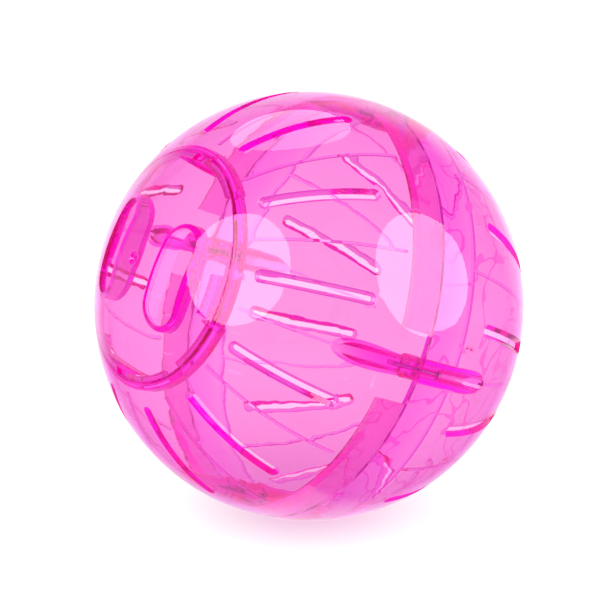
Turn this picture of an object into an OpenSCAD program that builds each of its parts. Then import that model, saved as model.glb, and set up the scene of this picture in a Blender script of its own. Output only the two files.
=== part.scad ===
// Hamster exercise ball: two moulded half shells, a twist-off door and four screws.
// The pieces are drawn about the ball's own axis, with the door at the top, and stand() lays them
// down so that the door faces forward and slightly up.

/* [Ball] */
// Outer diameter of the ball
ball_diameter = 180; // [174:0.5:188]
// Thickness of the moulded wall
wall = 2; // [1.8:0.05:2.2]
// How far the door's end is raised while the ball stands, in degrees
standing_tilt = 23.4; // [15:0.1:30]

/* [Air slots] */
// Number of air slots round each half
slot_count = 12; // [8:4:12]
// Angle from the ball's axis to the centre of a slot's end nearest the pole
slot_start = 41.6; // [40:0.1:44]
// Angle from the ball's axis to the centre of a slot's end nearest the seam
slot_stop = 70.2; // [64:0.1:71]
// Width of a slot on the inside of the wall
slot_throat = 2.2; // [1.8:0.1:2.8]
// Width of a slot on the outside of the wall
slot_mouth = 5.8; // [5:0.1:6.4]
// Depth of the straight part of a slot
slot_land = 0.5; // [0.4:0.05:0.8]

/* [Inner ribs] */
// Number of ribs round each half, one behind every screw boss
rib_count = 12; // [8:4:12]
// Width of a rib
rib_width = 1.2; // [0.8:0.1:1.6]
// How far a rib stands in from the wall
rib_height = 0.7; // [0.5:0.05:0.9]
// Angle from the ball's axis to a rib's end nearest the pole
rib_start = 37.8; // [37.2:0.1:44]
// Angle from the ball's axis to a rib's end nearest the seam
rib_stop = 79.4; // [70:0.1:79.6]

/* [Seam between the halves] */
// Height of the lip that reaches into the front shell
lip_height = 13.9; // [12:0.1:15.5]
// Height at which the lip starts to thin out
lip_straight = 9.5; // [7:0.5:11]
// Thickness of the lip at its end
lip_end = 0.35; // [0.25:0.05:0.5]
// Gap between the lip and the front shell
lip_gap = 0.15; // [0.1:0.05:0.3]
// How far the straight inner face of the lip lies inside the wall at the seam
lip_inset = 2.3; // [2.1:0.1:2.6]
// Width of the notches in the lip that clear the screw bosses
lip_notch = 30; // [26:0.5:34]

/* [Screw bosses] */
// Number of screws
boss_count = 4; // [2:2:4]
// How far the screw axes lie inside the ball's outside at the seam
boss_inset = 5.8; // [5.6:0.05:6.2]
// Diameter of a front boss
front_boss = 7.6; // [7:0.1:8]
// Diameter of the foot of a front boss
boss_foot = 10; // [9.4:0.1:10.6]
// Height of the foot of a front boss
boss_foot_height = 5.8; // [4:0.1:7]
// Diameter of a back boss
back_boss = 9.8; // [9:0.1:10.4]
// Diameter of the open channel that leads to a screw head
channel = 5.4; // [5:0.1:5.8]
// Distance from the seam to the seat of a screw head
seat_depth = 10.5; // [8:0.1:12]

/* [Screws] */
// Length of a screw under its head
screw_length = 23; // [18:0.5:24]
// Outer diameter of the thread
thread = 2.6; // [2.4:0.05:2.8]
// Depth of the thread
thread_depth = 0.3; // [0.2:0.05:0.35]
// Distance from one turn of the thread to the next
thread_pitch = 1.1; // [0.9:0.05:1.4]
// How much of a turn's crest is cut into the boss
thread_bite = 0.2; // [0.1:0.05:0.25]
// Diameter of a screw head
head = 4.4; // [4:0.1:4.8]
// Height of a screw head
head_height = 1.8; // [1.4:0.1:2.2]
// Gap round a screw where it passes through the back shell
screw_gap = 0.2; // [0.1:0.05:0.4]
// Free depth of the hole in the front boss past the screw's tip
hole_spare = 1.5; // [0.5:0.1:3]
// Width of each arm of the cross recess in the head
recess_width = 0.7; // [0.5:0.05:0.9]
// Depth of the cross recess in the head
recess_depth = 1; // [0.7:0.05:1.2]
// Length of each bar of the cross recess
recess_length = 2.8; // [2.4:0.1:3.2]

/* [Door] */
// Diameter of the door
door_diameter = 97.6; // [96:0.2:99]
// Gap between the door's edge and the shell
door_gap = 0.4; // [0.3:0.05:0.6]
// Gap between the door and the ledge it rests over
ledge_gap = 0.3; // [0.25:0.05:0.4]
// Diameter of the dished gate mark in the middle of the door
gate_mark = 6.4; // [5:0.1:8]
// Diameter of the flat floor of the gate mark
gate_floor = 2; // [1.4:0.1:2.6]
// Depth of the gate mark
gate_depth = 1; // [0.6:0.1:1.2]

/* [Finger pockets] */
// Width of the grip bar between the pockets
grip_bar = 28.8; // [26:0.2:31]
// Width of a pocket
pocket_width = 16.6; // [15:0.2:17.6]
// Length of a pocket
pocket_length = 41.6; // [36:0.2:43]
// Height of the pocket floors below the door's highest point
pocket_drop = 10.3; // [9.8:0.1:11]
// Thickness of a pocket's wall and floor
pocket_wall = 1.8; // [1.4:0.1:2]

/* [Door lock] */
// Turn from locked to the place where the door lifts off
door_turn = 42; // [38:0.5:44]
// Width of the collar round the opening
collar_width = 1.6; // [1.4:0.1:2]
// How far the collar hangs below the ledge, where the wide hooks don't travel
collar_hang = 0.8; // [0.5:0.1:1.4]
// How far the ledge reaches in under the door's edge
ledge_reach = 3.6; // [3.2:0.1:4]
// Thickness of the ledge
ledge_thickness = 1.6; // [1.4:0.1:1.8]
// Angle that a wide hook spans
wide_hook = 23.5; // [20:0.5:26]
// Angle that a narrow hook spans
narrow_hook = 8; // [7:0.5:9]
// Thickness of a hook's foot
hook_foot = 1.6; // [1.4:0.1:1.8]
// Thickness of a hook's neck
hook_neck = 2.2; // [1.8:0.1:2.6]
// How far the pad behind a wide hook reaches towards the door's middle
hook_pad = 4.4; // [3.6:0.1:5]
// Thickness of the pad behind a wide hook
hook_pad_thickness = 1.5; // [1:0.1:1.8]
// Width of the curved pad that carries a narrow hook
bow_pad = 2.5; // [2:0.1:3]
// Length of a stop or a catch along the ledge
stop_length = 2.2; // [1.6:0.1:3]
// Width of the slit at the end of a wide hook
slit_width = 1.2; // [0.8:0.1:1.6]

/* [Hidden] */
$fn = 96;

quarter_turn = 90;
half_turn = 180;
full_turn = 360;
plastic_colour = [0.96, 0.36, 0.8, 0.6];
door_colour = [0.98, 0.46, 0.84, 0.6];
screw_colour = [0.75, 0.76, 0.78];

// How far every cut runs past what it cuts
overrun = wall / 2;

outer_r = ball_diameter / 2;
inner_r = outer_r - wall;
middle_r = outer_r - wall / 2;
band_r = inner_r - lip_inset;

// A slot's walls are straight for the land and then flare to the mouth
flare_r = inner_r + slot_land;
slot_slope = (slot_mouth - slot_throat) / 2 / (outer_r - flare_r);
slot_over = slot_mouth / 2 + overrun * slot_slope;
slot_step = full_turn / slot_count;
rib_step = full_turn / rib_count;

boss_orbit = outer_r - boss_inset;
boss_step = full_turn / boss_count;
pilot_r = thread / 2 - thread_bite;
hole_top = screw_length - seat_depth + hole_spare;

door_r = door_diameter / 2;
opening_r = door_r + door_gap;
collar_r = opening_r + collar_width;

// The door's edge lies over the ledge, and the hooks' feet lie under it
ledge_r = opening_r - ledge_reach;
ledge_top_r = inner_r - ledge_gap;
ledge_low_r = ledge_top_r - ledge_thickness;
collar_low_r = ledge_low_r - collar_hang;
foot_top_r = ledge_low_r - ledge_gap;
foot_low_r = foot_top_r - hook_foot;
neck_r = ledge_r - door_gap;
foot_r = door_r - door_gap;
bow_chord = neck_r - bow_pad;

// Angles that the two gaps give at the radius of the feet
play = half_turn / PI * door_gap / foot_r;
wide_half = wide_hook / 2;
narrow_half = narrow_hook / 2;
stop_span = half_turn / PI * stop_length / foot_r;
slit_span = half_turn / PI * slit_width / foot_r;
stop_low = -wide_half - play;
stop_high = door_turn + wide_half + play;

pocket_floor = outer_r - pocket_drop;
pocket_r = pocket_width / 2;
pocket_middle = grip_bar / 2 + pocket_r;
pocket_straight = pocket_length / 2 - pocket_r;

// Lays the ball down on the open channel of its lowest screw
module stand() {
    rotate([quarter_turn - standing_tilt, 0, 0])
        children();
}

// Copies round the ball's axis
module ring_of(step, first = 0) {
    for (angle = [0 : step : full_turn - step])
        rotate([0, 0, first + angle])
            children();
}

// The material between two spheres about the ball's centre
module layer(low_r, high_r) {
    difference() {
        sphere(r = high_r);
        sphere(r = low_r);
    }
}

// A ring round the ball's axis from one angle to another
module arc_ring(near_r, far_r, low, high, from, to) {
    rotate([0, 0, from])
        rotate_extrude(angle = to - from)
            translate([near_r, low])
                square([far_r - near_r, high - low]);
}

// A curved tile between two spheres, two distances from the axis and two angles
module tile(low_r, high_r, near_r, far_r, from, to) {
    intersection() {
        layer(low_r, high_r);
        arc_ring(near_r, far_r, 0, outer_r, from, to);
    }
}

// A full ring between two spheres and two distances from the axis
module ring_tile(low_r, high_r, near_r, far_r) {
    intersection() {
        layer(low_r, high_r);
        difference() {
            cylinder(r = far_r, h = outer_r);
            translate([0, 0, -overrun])
                cylinder(r = near_r, h = outer_r + 2 * overrun);
        }
    }
}

// The space on the door's side of the seam
module door_side() {
    translate([-ball_diameter, -ball_diameter, 0])
        cube([2 * ball_diameter, 2 * ball_diameter, ball_diameter]);
}

// Sweeps a profile, drawn at its distance from the centre, along a line from pole to seam
module along_meridian(from_pole, to_seam) {
    rotate([quarter_turn, 0, 0])
        rotate([0, 0, quarter_turn - to_seam])
            rotate_extrude(angle = to_seam - from_pole)
                children();
}

// The round end of a slot, at an angle from the ball's axis
module slot_end(from_pole) {
    rotate([0, from_pole, 0])
        rotate_extrude()
            polygon([
                [0, inner_r - overrun],
                [slot_throat / 2, inner_r - overrun],
                [slot_throat / 2, flare_r],
                [slot_over, outer_r + overrun],
                [0, outer_r + overrun]
            ]);
}

module slot_cutter() {
    along_meridian(slot_start, slot_stop)
        polygon([
            [inner_r - overrun, -slot_throat / 2],
            [flare_r, -slot_throat / 2],
            [outer_r + overrun, -slot_over],
            [outer_r + overrun, slot_over],
            [flare_r, slot_throat / 2],
            [inner_r - overrun, slot_throat / 2]
        ]);
    slot_end(slot_start);
    slot_end(slot_stop);
}

module rib() {
    along_meridian(rib_start, rib_stop)
        translate([inner_r - rib_height, -rib_width / 2])
            square([rib_height + wall / 2, rib_width]);
}

// One half of the ball's wall with its ribs, on the door's side of the seam
module half_wall() {
    intersection() {
        layer(inner_r, outer_r);
        door_side();
    }
    ring_of(rib_step)
        rib();
}

// A pillar beside the wall, clipped so that it never shows outside
module pillar(diameter, height) {
    intersection() {
        sphere(r = middle_r);
        translate([boss_orbit, 0, 0])
            cylinder(d = diameter, h = height);
    }
}

module front_boss_solid() {
    pillar(front_boss, outer_r);
    pillar(boss_foot, boss_foot_height);
}

// The ledge that the door's edge lies over, with the notches that its hooks drop through
module ledge() {
    notch_half = wide_half + 2 * play;
    small_half = narrow_half + 2 * play;
    difference() {
        ring_tile(ledge_low_r, ledge_top_r, ledge_r, opening_r + collar_width / 2);
        ring_of(half_turn, door_turn)
            arc_ring(ledge_r - overrun, opening_r, 0, outer_r, -notch_half, notch_half);
        ring_of(half_turn, door_turn + quarter_turn)
            arc_ring(ledge_r - overrun, opening_r, 0, outer_r, -small_half, small_half);
    }
}

// The collar hangs deep, but for the two stretches where the wide hooks travel
module collar() {
    channel_low = stop_low - stop_span / 2;
    channel_high = stop_high + stop_span / 2;
    difference() {
        ring_tile(collar_low_r, middle_r, opening_r, collar_r);
        intersection() {
            sphere(r = ledge_low_r);
            ring_of(half_turn)
                arc_ring(opening_r - overrun, collar_r + overrun, 0, outer_r, channel_low, channel_high);
        }
    }
}

// Blocks under the ledge where the wide hooks stop, and a catch that their feet pass inside
module stops() {
    stop_r = opening_r + collar_width / 2;
    stop_top_r = ledge_top_r - ledge_thickness / 2;
    catch_from = wide_half + play;
    ring_of(half_turn) {
        tile(foot_low_r, stop_top_r, foot_r - hook_neck, stop_r, stop_low - stop_span, stop_low);
        tile(foot_low_r, stop_top_r, foot_r - hook_neck, stop_r, stop_high, stop_high + stop_span);
        tile(foot_low_r, stop_top_r, foot_r + ledge_gap, stop_r, catch_from, catch_from + stop_span);
    }
}

module front_shell() {
    color(plastic_colour)
        stand()
            difference() {
                union() {
                    difference() {
                        half_wall();
                        cylinder(r = opening_r, h = ball_diameter);
                    }
                    ledge();
                    collar();
                    stops();
                    ring_of(boss_step)
                        front_boss_solid();
                }
                ring_of(slot_step, slot_step / 2)
                    slot_cutter();
                ring_of(boss_step)
                    translate([boss_orbit, 0, -overrun])
                        cylinder(r = pilot_r, h = hole_top + overrun);
            }
}

// The lip keeps to the curve of the front shell outside, and is straight inside until it thins out
module lip() {
    lip_r = inner_r - lip_gap;
    tip_r = sqrt(lip_r * lip_r - lip_height * lip_height) - lip_end;
    difference() {
        intersection() {
            sphere(r = lip_r);
            translate([0, 0, -wall])
                cylinder(r = outer_r, h = lip_height + wall);
        }
        rotate_extrude()
            polygon([
                [0, -ball_diameter],
                [band_r, -ball_diameter],
                [band_r, lip_straight],
                [tip_r, lip_height],
                [tip_r, ball_diameter],
                [0, ball_diameter]
            ]);
        ring_of(boss_step)
            translate([boss_orbit - back_boss, -lip_notch / 2, 0])
                cube([ball_diameter, lip_notch, ball_diameter]);
    }
}

// The straight inner face runs on into the back shell until it meets the curve of the wall
module inner_band() {
    intersection() {
        difference() {
            sphere(r = middle_r);
            translate([0, 0, -overrun])
                cylinder(r = band_r, h = ball_diameter);
        }
        door_side();
    }
}

module back_shell() {
    color(plastic_colour)
        stand() {
            difference() {
                union() {
                    mirror([0, 0, 1]) {
                        half_wall();
                        inner_band();
                        ring_of(boss_step)
                            pillar(back_boss, outer_r);
                    }
                    lip();
                }
                mirror([0, 0, 1]) {
                    ring_of(slot_step, slot_step / 2)
                        slot_cutter();
                    ring_of(boss_step)
                        translate([boss_orbit, 0, seat_depth])
                            cylinder(d = channel, h = ball_diameter);
                    ring_of(boss_step)
                        translate([boss_orbit, 0, -overrun])
                            cylinder(r = thread / 2 + screw_gap, h = seat_depth + 2 * overrun);
                }
            }
        }
}

// The outline of a pocket, grown by a margin
module pocket_outline(margin) {
    translate([pocket_middle, 0]) {
        square([2 * (pocket_r + margin), 2 * pocket_straight], center = true);
        for (side = [-1, 1])
            translate([0, side * pocket_straight])
                circle(r = pocket_r + margin);
    }
}

module pocket_well() {
    intersection() {
        sphere(r = middle_r);
        translate([0, 0, pocket_floor - pocket_wall])
            linear_extrude(height = outer_r)
                pocket_outline(pocket_wall);
    }
}

module pocket_cut() {
    translate([0, 0, pocket_floor])
        linear_extrude(height = outer_r)
            pocket_outline(0);
}

// A wide hook: a pad under the door's wall, a neck inside the ledge and a foot under it
module wide_hook_solid() {
    tile(inner_r - hook_pad_thickness, middle_r, neck_r - hook_pad, neck_r, -wide_half, wide_half);
    tile(foot_low_r, middle_r, neck_r - hook_neck, neck_r, -wide_half, wide_half);
    tile(foot_low_r, foot_top_r, neck_r - hook_neck, foot_r, -wide_half, wide_half);
}

// A narrow hook hangs from a pad with a straight inner side and a round outer side
module narrow_hook_solid() {
    intersection() {
        layer(foot_low_r, middle_r);
        cylinder(r = neck_r, h = outer_r);
        translate([bow_chord, -outer_r, 0])
            cube([outer_r, ball_diameter, outer_r]);
    }
    tile(foot_low_r, foot_top_r, neck_r - bow_pad / 2, foot_r, -narrow_half, narrow_half);
}

// Openings in the door's wall over the narrow hooks and at the ends of the wide ones
module door_windows() {
    window_half = narrow_half + play;
    slit_end = -wide_half - play;
    ring_of(half_turn, quarter_turn)
        arc_ring(ledge_r, foot_r, 0, outer_r, -window_half, window_half);
    ring_of(half_turn)
        arc_ring(ledge_r, door_r + overrun, 0, outer_r, slit_end - slit_span, slit_end);
}

// A dish with a flat floor that keeps the stub of the moulding gate below the surface
module gate_cut() {
    slope = (gate_mark - gate_floor) / gate_depth;
    translate([0, 0, outer_r - gate_depth])
        cylinder(d1 = gate_floor, d2 = gate_mark + slope * overrun, h = gate_depth + overrun);
}

module door() {
    color(door_colour)
        stand()
            difference() {
                union() {
                    difference() {
                        intersection() {
                            layer(inner_r, outer_r);
                            cylinder(r = door_r, h = outer_r);
                        }
                        door_windows();
                    }
                    ring_of(half_turn)
                        pocket_well();
                    ring_of(half_turn)
                        wide_hook_solid();
                    ring_of(half_turn, quarter_turn)
                        narrow_hook_solid();
                }
                ring_of(half_turn)
                    pocket_cut();
                gate_cut();
            }
}

// The outline of a screw from its axis out, with the underside of the head at zero
function thread_points() = [
    for (turn = [1 : floor((screw_length - head) / thread_pitch)])
        each [
            [thread / 2 - thread_depth, screw_length - thread - turn * thread_pitch + thread_pitch],
            [thread / 2, screw_length - thread - turn * thread_pitch + thread_pitch / 2]
        ]
];

module screw() {
    core = thread / 2 - thread_depth;
    crown = head_height / 2;
    difference() {
        rotate_extrude()
            polygon(concat(
                [[0, screw_length]],
                thread_points(),
                [
                    [core, 0],
                    [head / 2, 0],
                    [head / 2, -crown],
                    [head / 2 - crown / 2, -head_height],
                    [0, -head_height]
                ]
            ));
        for (angle = [0, quarter_turn])
            rotate([0, 0, angle])
                translate([-recess_length / 2, -recess_width / 2, -head_height - overrun])
                    cube([recess_length, recess_width, recess_depth + overrun]);
    }
}

module screws() {
    color(screw_colour)
        stand()
            ring_of(boss_step)
                translate([boss_orbit, 0, -seat_depth])
                    screw();
}

front_shell();
back_shell();
door();
screws();
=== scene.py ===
import math

import bpy
from mathutils import Matrix, Vector


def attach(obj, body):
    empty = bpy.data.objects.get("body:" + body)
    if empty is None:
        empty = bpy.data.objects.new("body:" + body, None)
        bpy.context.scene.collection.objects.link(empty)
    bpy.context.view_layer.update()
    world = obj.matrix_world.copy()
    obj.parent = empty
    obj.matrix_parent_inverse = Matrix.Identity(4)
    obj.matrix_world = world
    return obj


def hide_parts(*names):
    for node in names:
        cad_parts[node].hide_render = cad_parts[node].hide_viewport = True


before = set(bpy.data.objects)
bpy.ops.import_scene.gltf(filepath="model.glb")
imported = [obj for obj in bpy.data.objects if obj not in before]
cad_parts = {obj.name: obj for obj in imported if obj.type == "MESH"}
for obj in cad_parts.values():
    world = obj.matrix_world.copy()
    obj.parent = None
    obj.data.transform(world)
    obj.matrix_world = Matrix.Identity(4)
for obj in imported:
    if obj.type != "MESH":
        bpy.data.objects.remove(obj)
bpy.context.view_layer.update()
print("frame loaded:", sorted(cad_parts))


# A shader socket that takes part in Python maths
class Wire:
    def __init__(self, recipe, socket):
        self.recipe, self.socket = recipe, socket

    def maths(self, operation, first, second):
        return self.recipe.add("ShaderNodeMath", {"operation": operation}, {0: first, 1: second})

    def __add__(self, other):
        return self.maths("ADD", self, other)

    def __mul__(self, other):
        return self.maths("MULTIPLY", self, other)

    def __sub__(self, other):
        return self.maths("SUBTRACT", self, other)

    def __rsub__(self, other):
        return self.maths("SUBTRACT", other, self)

    __radd__ = __add__
    __rmul__ = __mul__

    def most(self, other):
        return self.maths("MAXIMUM", self, other)

    def least(self, other):
        return self.maths("MINIMUM", self, other)

    def root(self):
        return self.maths("SQRT", self, 0.0)

    def size(self):
        return self.maths("ABSOLUTE", self, 0.0)

    def near(self, value, margin):  # 1 within the margin of a value, 0 elsewhere
        return self.recipe.add("ShaderNodeMath", {"operation": "COMPARE"}, {0: self, 1: value, 2: margin})

    def between(self, low, high):
        return self.near((low + high) / 2, (high - low) / 2)

    def climb(self, low, high):  # 0 below the low value, 1 above the high one
        return ((self - low) * (1 / (high - low))).most(0.0).least(1.0)


# One material's or world's node tree
class Recipe:
    def __init__(self, block):
        block.use_nodes = True
        self.block, self.tree = block, block.node_tree
        self.tree.nodes.clear()

    def add(self, kind, settings=None, inputs=None, output=0):
        node = self.tree.nodes.new(kind)
        for name, value in (settings or {}).items():
            setattr(node, name, value)
        self.feed(node.inputs, inputs or {})
        return Wire(self, node.outputs[output]) if len(node.outputs) else node

    def feed(self, sockets, inputs):
        for name, value in inputs.items():
            if isinstance(value, Wire):
                self.tree.links.new(value.socket, sockets[name])
            else:
                sockets[name].default_value = value

    def vector(self, operation, first, second=(0.0, 0.0, 0.0)):
        inputs = {0: first, 1: second}
        return self.add("ShaderNodeVectorMath", {"operation": operation}, inputs, output="Value")

    def noise(self, place, scale, detail, distortion=0.0):
        inputs = {"Vector": place, "Scale": scale, "Detail": detail, "Distortion": distortion}
        return self.add("ShaderNodeTexNoise", {"noise_dimensions": "3D"}, inputs)

    def blend(self, factor, first, second):
        node = self.tree.nodes.new("ShaderNodeMix")
        node.data_type = "RGBA"
        sockets = {s.name: s for s in node.inputs if s.type == "RGBA"}
        sockets["Factor"] = node.inputs["Factor"]
        colours = [value if isinstance(value, Wire) else (*value, 1.0) for value in (first, second)]
        self.feed(sockets, {"A": colours[0], "B": colours[1], "Factor": factor})
        return Wire(self, [s for s in node.outputs if s.type == "RGBA"][0])

    def lightPath(self, output):
        return self.add("ShaderNodeLightPath", output=output)


def newMaterial(name):
    return Recipe(bpy.data.materials.new(name))


# Materials

ball = {
    "outer": 0.09,
    "inner": 0.088,
    "lip": 0.08785,
    "rib": 0.0873,
    "band": 0.0857,
    "bandReach": 0.0205,
    "lipTop": 0.0139,
    "lipCone": 0.0865,
    "pocketFloor": 0.0797,
    "pocketUnder": 0.0779,
    "axis": (0.0, -0.917755, 0.397148),
    "raised": (0.0, 0.397148, 0.917755),
    "lipNear": (-0.03, 0.05),
    "pillarOrbit": 0.0842,
    "pillarFlank": (0.002, 0.0034),
    "channel": 0.003,
    "channelTop": -0.0103,
    "frontPillar": (0.0034, 0.0053),
    "backPillar": (0.0046, 0.0053),
    "wellDepth": (0.0775, 0.0885),
    "wellAcross": (0.0124, 0.033),
    "wellEnd": 0.0227,
    "wellTurn": (0.022, 0.029),
    "collar": (0.049, 0.051),
    "collarFoot": 0.06,
    "travelMiddle": (math.cos(math.radians(21)), math.sin(math.radians(21))),
    "travelShare": math.cos(math.radians(35.5)),
    "gateMark": 0.0033,
    "bowPad": 0.0426,
    "hookPad": (0.0401, 0.0488),
    "hookPadEnd": 0.0096,
    "hookEdge": 0.0408,
    "slotFlare": (0.0885, 0.0895),
    "veinedSide": (0.012, 0.03),
}
clearPlastic = {
    "ior": 1.5,
    "roughness": 0.012,
    "roughnessSpread": 0.03,
    "wallTint": (0.954, 0.81, 0.825),
    # From the edge tint to the travel tint the colours are painted: deeper or paler colour on cut faces, lip,
    # pillars, collar, door well, pads and hooks stands in for light that runs along inside the plastic
    "paintedEdgeDepth": (0.98, 0.34, 0.88),
    "paintedSlotDepth": (0.985, 0.18, 0.79),
    "paintedOutline": (0.82, 0.06, 0.66),
    "paintedSeamDepth": (0.65, 0.08, 0.6),
    "paintedRibDepth": (0.98, 0.5, 0.86),
    "paintedRibSideDepth": (0.72, 0.1, 0.62),
    "paintedLipNearDepth": (0.98, 0.27, 0.76),
    "paintedLipFarDepth": (0.99, 0.66, 0.87),
    "paintedPillarDepth": (0.97, 0.03, 0.68),
    "paintedBackPillarDepth": (0.96, 0.02, 0.42),
    "paintedPillarFaceDepth": (0.975, 0.3, 0.76),
    "paintedBorePale": (0.985, 0.72, 0.88),
    "paintedWellPale": (0.99, 0.85, 0.93),
    "paintedWellSideDepth": (0.985, 0.38, 0.85),
    "paintedPadDepth": (0.97, 0.04, 0.58),
    "paintedHookDepth": (0.97, 0.08, 0.72),
    "paintedCollarDepth": (0.97, 0.05, 0.6),
    "paintedTravelDepth": (0.98, 0.12, 0.78),
    "veinTint": (0.94, 0.22, 0.7),
    "absorption": (0.9985, 0.0, 0.976),
    "density": 220.0,
    # Painted glow: emission added at this bounce, where light caught inside a wall would be cut off
    "trappedAfter": 14,
    "paintedTrappedGlow": (0.4, 0.02, 0.25),
    "margin": 0.00015,
    "lineDepths": (0.00013, 0.0005),
    "waveScale": 85.0,
    "waveDetail": 1.5,
    "waveHeight": 0.0001,
    "waveDepth": 0.001,
    "veinScale": 42.0,
    "veinDetail": 2.0,
    "veinBend": 0.6,
    "veinWidth": 0.015,
    "scuffScale": 900.0,
    "scuffDetail": 1.0,
}


def plasticMaterial(name, settings, isDoor=False, veined=False):
    recipe = newMaterial(name)
    place = recipe.add("ShaderNodeTexCoord", output="Object")
    radius = recipe.vector("LENGTH", place)
    along = recipe.vector("DOT_PRODUCT", place, ball["axis"])
    raised = recipe.vector("DOT_PRODUCT", place, ball["raised"])
    sideways = recipe.vector("DOT_PRODUCT", place, (1.0, 0.0, 0.0))
    fromAxis = (radius * radius - along * along).root()
    margin = settings["margin"]
    wave = recipe.noise(place, settings["waveScale"], settings["waveDetail"])
    fine = recipe.noise(place, settings["scuffScale"], settings["scuffDetail"])
    roughness = wave * fine * settings["roughnessSpread"] + settings["roughness"]

    # The outside was moulded smooth and the inside has a slight wave
    outside = radius.near(ball["outer"], margin)
    inside = radius.between(ball["lip"] - margin, ball["inner"] + margin)
    buried = (ball["outer"] - radius).climb(0.0, settings["waveDepth"])
    flow = recipe.add("ShaderNodeBump", None, {
        "Height": wave * buried,
        "Distance": settings["waveHeight"],
        "Strength": 1.0,
    })

    # The walls, the straight band at the seam and the pocket floors are pale
    band = fromAxis.near(ball["band"], margin) * along.near(0.0, ball["bandReach"])
    pocket = along.near(ball["pocketFloor"], margin).most(along.near(ball["pocketUnder"], margin))
    pale = outside.most(inside).most(band).most(pocket)
    # Every face that is not pale starts from the painted edge depth, a painted shade
    tintAndPaintedShade = settings["paintedEdgeDepth"]
    # On the door, the well is painted paler and turns deeper towards its sides: painted shade
    if isDoor:
        well = along.between(*ball["wellDepth"]) * sideways.size().between(*ball["wellAcross"])
        turned = sideways.size().climb(*ball["wellTurn"])
        paintedWellPale = recipe.blend(turned, settings["paintedWellPale"], settings["paintedWellSideDepth"])
        tintAndPaintedShade = recipe.blend(well * raised.near(0.0, ball["wellEnd"]), tintAndPaintedShade, paintedWellPale)
    tintAndPaintedShade = recipe.blend(pale, tintAndPaintedShade, settings["wallTint"])

    # Where two walls lie close, the colour is painted deeper on the near side, towards +X, and paler on the
    # far side: painted shade
    lip = fromAxis.between(ball["band"] - margin, ball["lipCone"]) * along.between(margin, ball["lipTop"])
    paintedLipNearDepth = recipe.blend(sideways.climb(*ball["lipNear"]), settings["paintedLipFarDepth"], settings["paintedLipNearDepth"])
    tintAndPaintedShade = recipe.blend(lip, tintAndPaintedShade, paintedLipNearDepth)

    # Cut edges, ribs, outlines and the seam are painted deeper: painted shade standing in for the light that
    # runs along inside the plastic to reach them
    if not isDoor:
        tintAndPaintedShade = recipe.blend(radius.between(*ball["slotFlare"]), tintAndPaintedShade, settings["paintedSlotDepth"])
    tintAndPaintedShade = recipe.blend(radius.near(ball["rib"], margin), tintAndPaintedShade, settings["paintedRibDepth"])
    ribSide = radius.between(ball["rib"] + margin, ball["lip"] - margin)
    tintAndPaintedShade = recipe.blend(ribSide, tintAndPaintedShade, settings["paintedRibSideDepth"])
    low, high = settings["lineDepths"]
    tintAndPaintedShade = recipe.blend(radius.between(ball["outer"] - high, ball["outer"] - low), tintAndPaintedShade, settings["paintedOutline"])
    tintAndPaintedShade = recipe.blend(along.near(0.0, margin), tintAndPaintedShade, settings["paintedSeamDepth"])

    # The collar and the sides of the solid pillars round the screws are painted deeper too, with a paler
    # screw bore and a paler stretch of collar where it is shorter; on the door the hooks, pads and gate mark
    # are painted deeper: painted shade and light
    under = 1.0 - radius.between(ball["inner"] - margin, ball["outer"] + margin)
    if isDoor:
        hooks = sideways.size().between(*ball["hookPad"]) * raised.near(0.0, ball["hookPadEnd"]) * under
        tintAndPaintedShade = recipe.blend(hooks, tintAndPaintedShade, settings["paintedHookDepth"])
        tintAndPaintedShade = recipe.blend(hooks * fromAxis.near(ball["hookEdge"], margin), tintAndPaintedShade, settings["paintedOutline"])
        pads = raised.size().between(ball["bowPad"], ball["outer"]) * under
        gate = fromAxis.between(-margin, ball["gateMark"]) * (1.0 - outside.most(inside))
        tintAndPaintedShade = recipe.blend(pads.most(gate), tintAndPaintedShade, settings["paintedPadDepth"])
    else:
        collar = fromAxis.between(*ball["collar"]) * along.between(ball["collarFoot"], ball["outer"]) * under
        middleX, middleY = ball["travelMiddle"]
        toMiddle = (sideways * middleX + raised * middleY).size()
        travelled = (toMiddle - fromAxis * ball["travelShare"]).climb(0.0, margin)
        paintedCollarDepth = recipe.blend(travelled, settings["paintedCollarDepth"], settings["paintedTravelDepth"])
        tintAndPaintedShade = recipe.blend(collar, tintAndPaintedShade, paintedCollarDepth)
        across, up = sideways.size(), raised.size()
        far, near = across.most(up) - ball["pillarOrbit"], across.least(up)
        reach = (far * far + near * near).root()
        front = reach.between(*ball["frontPillar"]) * along.between(0.0, ball["outer"])
        back = reach.between(*ball["backPillar"]) * along.between(-ball["outer"], 0.0)
        flank = near.climb(*ball["pillarFlank"])
        isFront = along.climb(-margin, 0.0)
        paintedFlankDepth = recipe.blend(isFront, settings["paintedBackPillarDepth"], settings["paintedPillarDepth"])
        paintedPillarDepth = recipe.blend(flank, settings["paintedPillarFaceDepth"], paintedFlankDepth)
        tintAndPaintedShade = recipe.blend(front.most(back) * (1.0 - outside), tintAndPaintedShade, paintedPillarDepth)
        bore = reach.between(-margin, ball["channel"]) * along.between(-ball["outer"], ball["channelTop"])
        tintAndPaintedShade = recipe.blend(bore, tintAndPaintedShade, settings["paintedBorePale"])

    # Faint wavy darker lines cross the inside and seam band of the back half, on its +X side
    if veined:
        course = recipe.noise(place, settings["veinScale"], settings["veinDetail"], settings["veinBend"])
        veins = course.near(0.5, settings["veinWidth"]) * inside.most(band)
        tintAndPaintedShade = recipe.blend(veins * sideways.climb(*ball["veinedSide"]), tintAndPaintedShade, settings["veinTint"])

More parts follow.
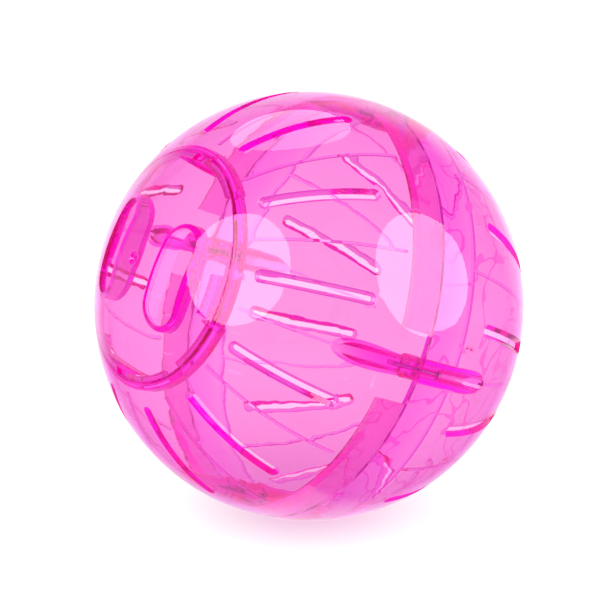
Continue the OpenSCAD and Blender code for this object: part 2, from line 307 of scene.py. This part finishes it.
    # Light caught inside a wall would end black at the bounce limit, so a painted glow is added at that depth
    # in its place
    trapped = recipe.lightPath("Ray Depth").near(settings["trappedAfter"], 0.5)
    surface = recipe.add("ShaderNodeBsdfPrincipled", None, {
        "Base Color": tintAndPaintedShade,
        "Emission Color": recipe.blend(trapped, (0.0, 0.0, 0.0), settings["paintedTrappedGlow"]),
        "Emission Strength": 1.0,
        "Roughness": roughness,
        "IOR": settings["ior"],
        "Transmission Weight": 1.0,
        "Normal": flow,
    })
    body = recipe.add("ShaderNodeVolumeAbsorption", None, {
        "Color": (*settings["absorption"], 1.0),
        "Density": settings["density"],
    })
    recipe.add("ShaderNodeOutputMaterial", None, {"Surface": surface, "Volume": body})
    recipe.block.cycles.emission_sampling = "NONE"
    return recipe.block


steel = {
    "colour": (0.72, 0.73, 0.75, 1.0),
    "roughness": 0.24,
    "spread": 0.2,
    "grainScale": 2600.0,
    "grainDetail": 2.0,
    "grainBump": 0.00001,
}


def steelMaterial():
    recipe = newMaterial("zincSteel")
    place = recipe.add("ShaderNodeTexCoord", output="Object")
    grain = recipe.noise(place, steel["grainScale"], steel["grainDetail"])
    bump = recipe.add("ShaderNodeBump", None,
                      {"Height": grain, "Distance": steel["grainBump"], "Strength": 1.0})
    surface = recipe.add("ShaderNodeBsdfPrincipled", None, {
        "Base Color": steel["colour"],
        "Metallic": 1.0,
        "Roughness": grain * steel["spread"] + steel["roughness"],
        "Normal": bump,
    })
    recipe.add("ShaderNodeOutputMaterial", None, {"Surface": surface})
    return recipe.block


frontPlastic = plasticMaterial("frontPlastic", clearPlastic)
backPlastic = plasticMaterial("backPlastic", clearPlastic, veined=True)
doorPlastic = plasticMaterial("doorPlastic", clearPlastic, isDoor=True)
zincSteel = steelMaterial()
print("materials made")


# Pieces

def deselectAll():
    if bpy.context.mode != "OBJECT":
        bpy.ops.object.mode_set(mode="OBJECT")
    bpy.ops.object.select_all(action="DESELECT")


def finishNode(nodeName, material):
    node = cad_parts[nodeName]
    node.data.materials.clear()
    node.data.materials.append(material)


finishNode("front_shell", frontPlastic)
finishNode("back_shell", backPlastic)
finishNode("door", doorPlastic)


# The four screws, with a real helix where the frame has plain rings
screw = {
    "core": 0.001,
    "coreSides": 32,
    "length": 0.023,
    "tip": 0.0026,
    "tipShare": 0.12,
    "threadOuter": 0.0013,
    "ridge": 0.0003,
    "ridgeStretch": 1.6,
    "pitch": 0.0011,
    "turns": 18,
    "turnSteps": 20,
    "threadStart": 0.0012,
    "headRadius": 0.0022,
    "headSides": 48,
    "headHeight": 0.0018,
    "crown": 0.0008,
    "crownSteps": 4,
    "smoothAngle": math.radians(35),
    "recess": (0.0028, 0.0007, 0.001),
    "orbit": 0.0842,
    "seat": 0.0105,
    "count": 4,
    "tilt": math.radians(66.6),
}


def applyModifier(piece, kind, settings):
    modifier = piece.modifiers.new(kind.title(), kind)
    for name, value in settings.items():
        setattr(modifier, name, value)
    deselectAll()
    piece.select_set(True)
    bpy.context.view_layer.objects.active = piece
    bpy.ops.object.modifier_apply(modifier=modifier.name)


def settle(piece, place=None):
    if place:
        piece.matrix_world = place
    deselectAll()
    piece.select_set(True)
    bpy.context.view_layer.objects.active = piece
    bpy.ops.object.transform_apply(location=True, rotation=True, scale=True)


def makeShank():
    straight = screw["length"] - screw["tip"]
    deselectAll()
    bpy.ops.mesh.primitive_cylinder_add(vertices=screw["coreSides"], radius=screw["core"], depth=straight,
                                        location=(0, 0, straight / 2))
    shank = bpy.context.object
    settle(shank)
    topFace = max(shank.data.polygons, key=lambda face: face.center.z).index
    bpy.ops.object.mode_set(mode="EDIT")
    bpy.ops.mesh.select_mode(type="FACE")
    bpy.ops.mesh.select_all(action="DESELECT")
    bpy.ops.object.mode_set(mode="OBJECT")
    shank.data.polygons[topFace].select = True
    bpy.ops.object.mode_set(mode="EDIT")
    bpy.ops.mesh.extrude_region_move(TRANSFORM_OT_translate={"value": (0, 0, screw["tip"])})
    narrowed = (screw["tipShare"], screw["tipShare"], 1)
    bpy.ops.transform.resize(value=narrowed, center_override=(0, 0, screw["length"]))
    bpy.ops.object.mode_set(mode="OBJECT")
    return shank


# One triangle, swept along the helix and closed at both ends
def makeThread():
    deselectAll()
    bpy.ops.mesh.primitive_circle_add(vertices=3, radius=screw["ridge"], fill_type="NOTHING")
    ridge = bpy.context.object
    ridge.rotation_euler = (math.pi / 2, 0, -math.pi / 2)
    settle(ridge)
    ridge.scale = (1, 1, screw["ridgeStretch"])
    ridge.location = (screw["threadOuter"] - screw["ridge"], 0, screw["threadStart"])
    settle(ridge)
    applyModifier(ridge, "SCREW", {
        "axis": "Z", "angle": 2 * math.pi, "screw_offset": screw["pitch"], "iterations": screw["turns"],
        "steps": screw["turnSteps"], "render_steps": screw["turnSteps"],
        "use_merge_vertices": False, "use_normal_calculate": True,
    })
    bpy.ops.object.mode_set(mode="EDIT")
    bpy.ops.mesh.select_mode(type="EDGE")
    bpy.ops.mesh.select_all(action="SELECT")
    bpy.ops.mesh.fill_holes(sides=3)
    bpy.ops.mesh.select_all(action="SELECT")
    bpy.ops.mesh.normals_make_consistent(inside=False)
    bpy.ops.object.mode_set(mode="OBJECT")
    return ridge


def makeHead():
    deselectAll()
    bpy.ops.mesh.primitive_cylinder_add(vertices=screw["headSides"], radius=screw["headRadius"],
                                        depth=screw["headHeight"], location=(0, 0, -screw["headHeight"] / 2))
    head = bpy.context.object
    settle(head)
    rim = [edge.index for edge in head.data.edges
           if all(head.data.vertices[v].co.z < -screw["headHeight"] / 2 for v in edge.vertices)]
    bpy.ops.object.mode_set(mode="EDIT")
    bpy.ops.mesh.select_mode(type="EDGE")
    bpy.ops.mesh.select_all(action="DESELECT")
    bpy.ops.object.mode_set(mode="OBJECT")
    for index in rim:
        head.data.edges[index].select = True
    bpy.ops.object.mode_set(mode="EDIT")
    bpy.ops.mesh.bevel(offset=screw["crown"], segments=screw["crownSteps"], affect="EDGES")
    bpy.ops.object.mode_set(mode="OBJECT")
    long, wide, deep = screw["recess"]
    for size in ((long, wide), (wide, long)):
        deselectAll()
        bpy.ops.mesh.primitive_cube_add(size=1, location=(0, 0, -screw["headHeight"]))
        cutter = bpy.context.object
        cutter.scale = (*size, 2 * deep)
        settle(cutter)
        applyModifier(head, "BOOLEAN", {"operation": "DIFFERENCE", "solver": "EXACT", "object": cutter})
        bpy.data.objects.remove(cutter)
    return head


def makeScrews():
    parts = [makeShank(), makeThread(), makeHead()]
    deselectAll()
    for part in parts:
        part.select_set(True)
    bpy.context.view_layer.objects.active = parts[0]
    bpy.ops.object.join()
    first = bpy.context.object
    bpy.ops.object.shade_smooth_by_angle(angle=screw["smoothAngle"])
    first.data.materials.clear()
    first.data.materials.append(zincSteel)
    stand = Matrix.Rotation(screw["tilt"], 4, "X")
    down = Matrix.Translation((screw["orbit"], 0, -screw["seat"]))
    placed = []
    for number in range(screw["count"]):
        piece = first
        if number:
            piece = first.copy()
            piece.data = first.data.copy()
            bpy.context.scene.collection.objects.link(piece)
        piece.name = "screw_%d" % (number + 1)
        turn = Matrix.Rotation(2 * math.pi * number / screw["count"], 4, "Z")
        placed.append((piece, stand @ turn @ down))
    for piece, place in placed:
        settle(piece, place)
        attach(piece, "ball")
        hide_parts("screws")


makeScrews()
print("screws made")


# Stage: a pale floor, soft light and the camera

stage = {
    "ballRadius": 0.09,
    "floorSize": 24.0,
    "floorColour": (0.2, 0.2, 0.2, 1.0),
    "floorGlow": 0.92,
    # Painted light: a pink glow on the floor close to the ball, for the light passing through the pink
    # plastic
    "paintedPinkLight": (1.0, 0.5, 0.8),
    "paintedPinkReach": 0.058,
    # Painted shadow: the floor's glow is dimmer close to the ball
    "paintedShadowGlow": 0.87,
    "paintedShadowReach": 0.08,
    "standOff": 0.08,
    "floorMirror": 0.2,
    "lampColour": (1.0, 0.98, 0.94),
    "skyLight": 0.5,
    "room": (1.0, 0.3, 0.8, 1.0),
    "roomLight": 0.34,
    "backdrop": (0.62, 0.86),
    "bounces": 64,
    "clearBounces": 16,
}
camera = {
    "towards": (0.8148, -0.470, 0.338),
    "distance": 1.8,
    "lens": 257.7,
    "sensor": 36.0,
    "farEnd": 100.0,
    "right": -0.00373,
    "up": 0.0026,
}
softboxes = {
    "boxLeft": {"towards": (-0.597, 0.313, 0.739), "distance": 1.2, "across": 1.25, "radiance": 5.2},
    "boxRight": {"towards": (0.872, 0.245, 0.424), "distance": 1.2, "across": 1.25, "radiance": 5.2},
    "boxTop": {"towards": (-0.1, 0.945, -0.31), "distance": 1.2, "across": 0.8, "radiance": 2.4},
}

towards = Vector(camera["towards"]).normalized()
imageRight = Vector((0, 0, 1)).cross(towards).normalized()
imageUp = towards.cross(imageRight)


def facing(direction):
    side = Vector((0, 0, 1)).cross(direction).normalized()
    return Matrix((side, direction.cross(side), direction)).transposed().to_4x4()


deselectAll()
bpy.ops.mesh.primitive_plane_add(size=stage["floorSize"], location=(0, 0, -stage["ballRadius"]))
floor = bpy.context.object
floor.name = "floor"


# How white a ray finds the backdrop. What the ball mirrors is a dim room, but for the side it stands before
def whiteness(recipe, outwards, least=0.0):
    direct = recipe.lightPath("Is Camera Ray") + recipe.lightPath("Is Transmission Ray")
    ahead = recipe.vector("DOT_PRODUCT", outwards, tuple(-towards)).climb(*stage["backdrop"])
    return direct.most(recipe.lightPath("Is Glossy Ray") * (ahead * (1.0 - least) + least)).least(1.0)


def floorMaterial():
    recipe = newMaterial("paleFloor")
    place = recipe.add("ShaderNodeTexCoord", output="Object")
    before = (towards.x * stage["standOff"], towards.y * stage["standOff"], 0.0)
    outwards = recipe.add("ShaderNodeVectorMath", {"operation": "SUBTRACT"}, {0: place, 1: before})
    outwards = recipe.add("ShaderNodeVectorMath", {"operation": "NORMALIZE"}, {0: outwards})
    shade = recipe.add("ShaderNodeBsdfDiffuse", None, {"Color": stage["floorColour"]})
    away = recipe.vector("LENGTH", place)
    # Painted shadow: the glow falls to a share of itself close to the ball
    paintedShadowShare = away.climb(0.0, stage["paintedShadowReach"]) * (1.0 - stage["paintedShadowGlow"]) + stage["paintedShadowGlow"]
    # Painted light: the camera sees the floor's glow pink close to the ball
    paintedPink = (1.0 - away.climb(0.0, stage["paintedPinkReach"])) * recipe.lightPath("Is Camera Ray")
    glow = recipe.add("ShaderNodeEmission", None, {
        "Color": recipe.blend(paintedPink, (1.0, 1.0, 1.0), stage["paintedPinkLight"]),
        "Strength": stage["floorGlow"],
    })
    both = recipe.add("ShaderNodeAddShader", None, {0: shade, 1: glow})
    room = recipe.add("ShaderNodeEmission", None, {"Color": stage["room"], "Strength": stage["roomLight"]})
    mirrored = recipe.lightPath("Is Glossy Ray")
    unseen = recipe.add("ShaderNodeMixShader", None, {0: mirrored, 1: shade, 2: room})
    white = whiteness(recipe, outwards, stage["floorMirror"]) * paintedShadowShare
    mixed = recipe.add("ShaderNodeMixShader", None, {0: white, 1: unseen, 2: both})
    recipe.add("ShaderNodeOutputMaterial", None, {"Surface": mixed})
    return recipe.block


floor.data.materials.append(floorMaterial())


def makeWorld():
    world = bpy.data.worlds.new("studio")
    bpy.context.scene.world = world
    recipe = Recipe(world)
    outwards = recipe.add("ShaderNodeTexCoord", output="Generated")
    lit = recipe.add("ShaderNodeBackground", None, {"Color": (1, 1, 1, 1), "Strength": stage["skyLight"]})
    room = recipe.add("ShaderNodeBackground", None, {"Color": stage["room"], "Strength": stage["roomLight"]})
    white = recipe.add("ShaderNodeBackground", None, {"Color": (1, 1, 1, 1), "Strength": 1.0})
    mirrored = recipe.lightPath("Is Glossy Ray")
    unseen = recipe.add("ShaderNodeMixShader", None, {0: mirrored, 1: lit, 2: room})
    sky = recipe.add("ShaderNodeMixShader", None, {0: whiteness(recipe, outwards), 1: unseen, 2: white})
    recipe.add("ShaderNodeOutputWorld", None, {"Surface": sky})


makeWorld()

for name, box in softboxes.items():
    x, y, z = box["towards"]
    direction = (imageRight * x + imageUp * y + towards * z).normalized()
    light = bpy.data.lights.new(name, "AREA")
    light.shape = "DISK"
    light.size = box["across"]
    light.color = stage["lampColour"]
    light.energy = box["radiance"] * math.pi * math.pi * (box["across"] / 2) ** 2
    lamp = bpy.data.objects.new(name, light)
    bpy.context.scene.collection.objects.link(lamp)
    lamp.matrix_world = Matrix.Translation(direction * box["distance"]) @ facing(direction)
    lamp.visible_transmission = False

cameraData = bpy.data.cameras.new("camera")
cameraData.lens = camera["lens"]
cameraData.sensor_width = camera["sensor"]
cameraData.clip_end = camera["farEnd"]
cameraPiece = bpy.data.objects.new("camera", cameraData)
bpy.context.scene.collection.objects.link(cameraPiece)
aim = imageRight * camera["right"] + imageUp * camera["up"]
cameraPiece.matrix_world = Matrix.Translation(aim + towards * camera["distance"]) @ facing(towards)
bpy.context.scene.camera = cameraPiece

scene = bpy.context.scene
scene.view_settings.view_transform = "Standard"
scene.cycles.max_bounces = stage["bounces"]
scene.cycles.transmission_bounces = stage["bounces"]
scene.cycles.glossy_bounces = stage["bounces"]
scene.cycles.transparent_max_bounces = stage["clearBounces"]
print("stage made")
